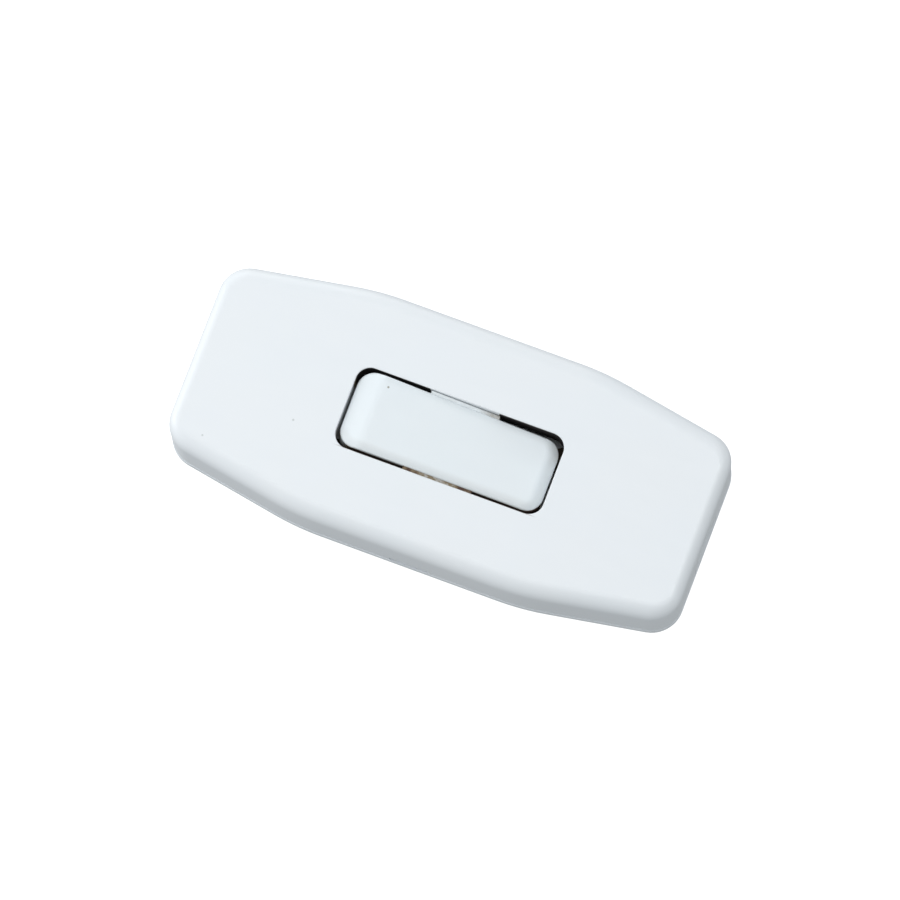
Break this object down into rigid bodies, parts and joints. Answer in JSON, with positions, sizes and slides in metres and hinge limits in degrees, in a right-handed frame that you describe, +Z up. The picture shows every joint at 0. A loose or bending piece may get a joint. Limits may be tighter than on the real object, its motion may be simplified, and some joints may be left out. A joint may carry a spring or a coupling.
{
  "type": "inline cord switch",
  "caption": "White two-part inline cord switch, barrel-shaped in plan, with a tilting rocker, see-saw brass contacts, screw terminals and a cord inlet at each end.",
  "frame": {"origin": "middle of the flat underside", "axes": "+X along the switch towards the end whose rocker side is pressed at rest, +Z up out of the rocker face"},
  "size_m": [0.0822, 0.037, 0.0145],
  "materials": {
    "casing_plastic": "satin white",
    "rocker_plastic": "satin white",
    "clamp_plastic": "moulded",
    "nylon": "natural",
    "brass": "pressed strip",
    "contact_silver": "silver",
    "spring_steel": "drawn wire",
    "plated_steel": "zinc plated"
  },
  "bodies": {
    "casing": {"base_shell": "casing_plastic", "top_cover": "casing_plastic", "cord_clamp_left": "clamp_plastic", "cord_clamp_right": "clamp_plastic", "terminal_screws": "plated_steel", "clamp_screws": "plated_steel", "cradle_terminal_front": "brass", "fixed_terminal_front": "brass", "fixed_contact_front": "contact_silver", "cradle_terminal_rear": "brass", "fixed_terminal_rear": "brass", "fixed_contact_rear": "contact_silver"},
    "rocker": {"plunger_spring_front": "spring_steel", "plunger_spring_rear": "spring_steel", "rocker": "rocker_plastic"},
    "contact_arm_front": {"contact_arm_front": "brass", "moving_contact_front": "contact_silver"},
    "plunger_front": {"plunger_front": "nylon"},
    "contact_arm_rear": {"contact_arm_rear": "brass", "moving_contact_rear": "contact_silver"},
    "plunger_rear": {"plunger_rear": "nylon"}
  },
  "joints": [
    {"name": "rocker_tilt", "type": "hinge", "parent": "casing", "child": "rocker", "pos_m": [0, 0, 0.0102], "axis": [0, -1, 0], "range_deg": [0, 10]},
    {"name": "contact_arm_tilt_front", "type": "hinge", "parent": "casing", "child": "contact_arm_front", "pos_m": [0, -0.0032, 0.0046], "axis": [0, -1, 0], "range_deg": [-20, 0]},
    {"name": "contact_arm_tilt_rear", "type": "hinge", "parent": "casing", "child": "contact_arm_rear", "pos_m": [0, 0.0032, 0.0046], "axis": [0, -1, 0], "range_deg": [-20, 0]},
    {"name": "plunger_slide_front", "type": "slide", "parent": "rocker", "child": "plunger_front", "axis": [0.0872, 0, 0.9962], "range_m": [0, 0.0004], "stiffness_N_per_m": 2000, "deforming": ["plunger_spring_front"]},
    {"name": "plunger_slide_rear", "type": "slide", "parent": "rocker", "child": "plunger_rear", "axis": [0.0872, 0, 0.9962], "range_m": [0, 0.0004], "stiffness_N_per_m": 2000, "deforming": ["plunger_spring_rear"]}
  ],
  "couplings": [
    {"joint": "contact_arm_tilt_front", "follows": "rocker_tilt", "ratio": -2},
    {"joint": "contact_arm_tilt_rear", "follows": "rocker_tilt", "ratio": -2}
  ]
}
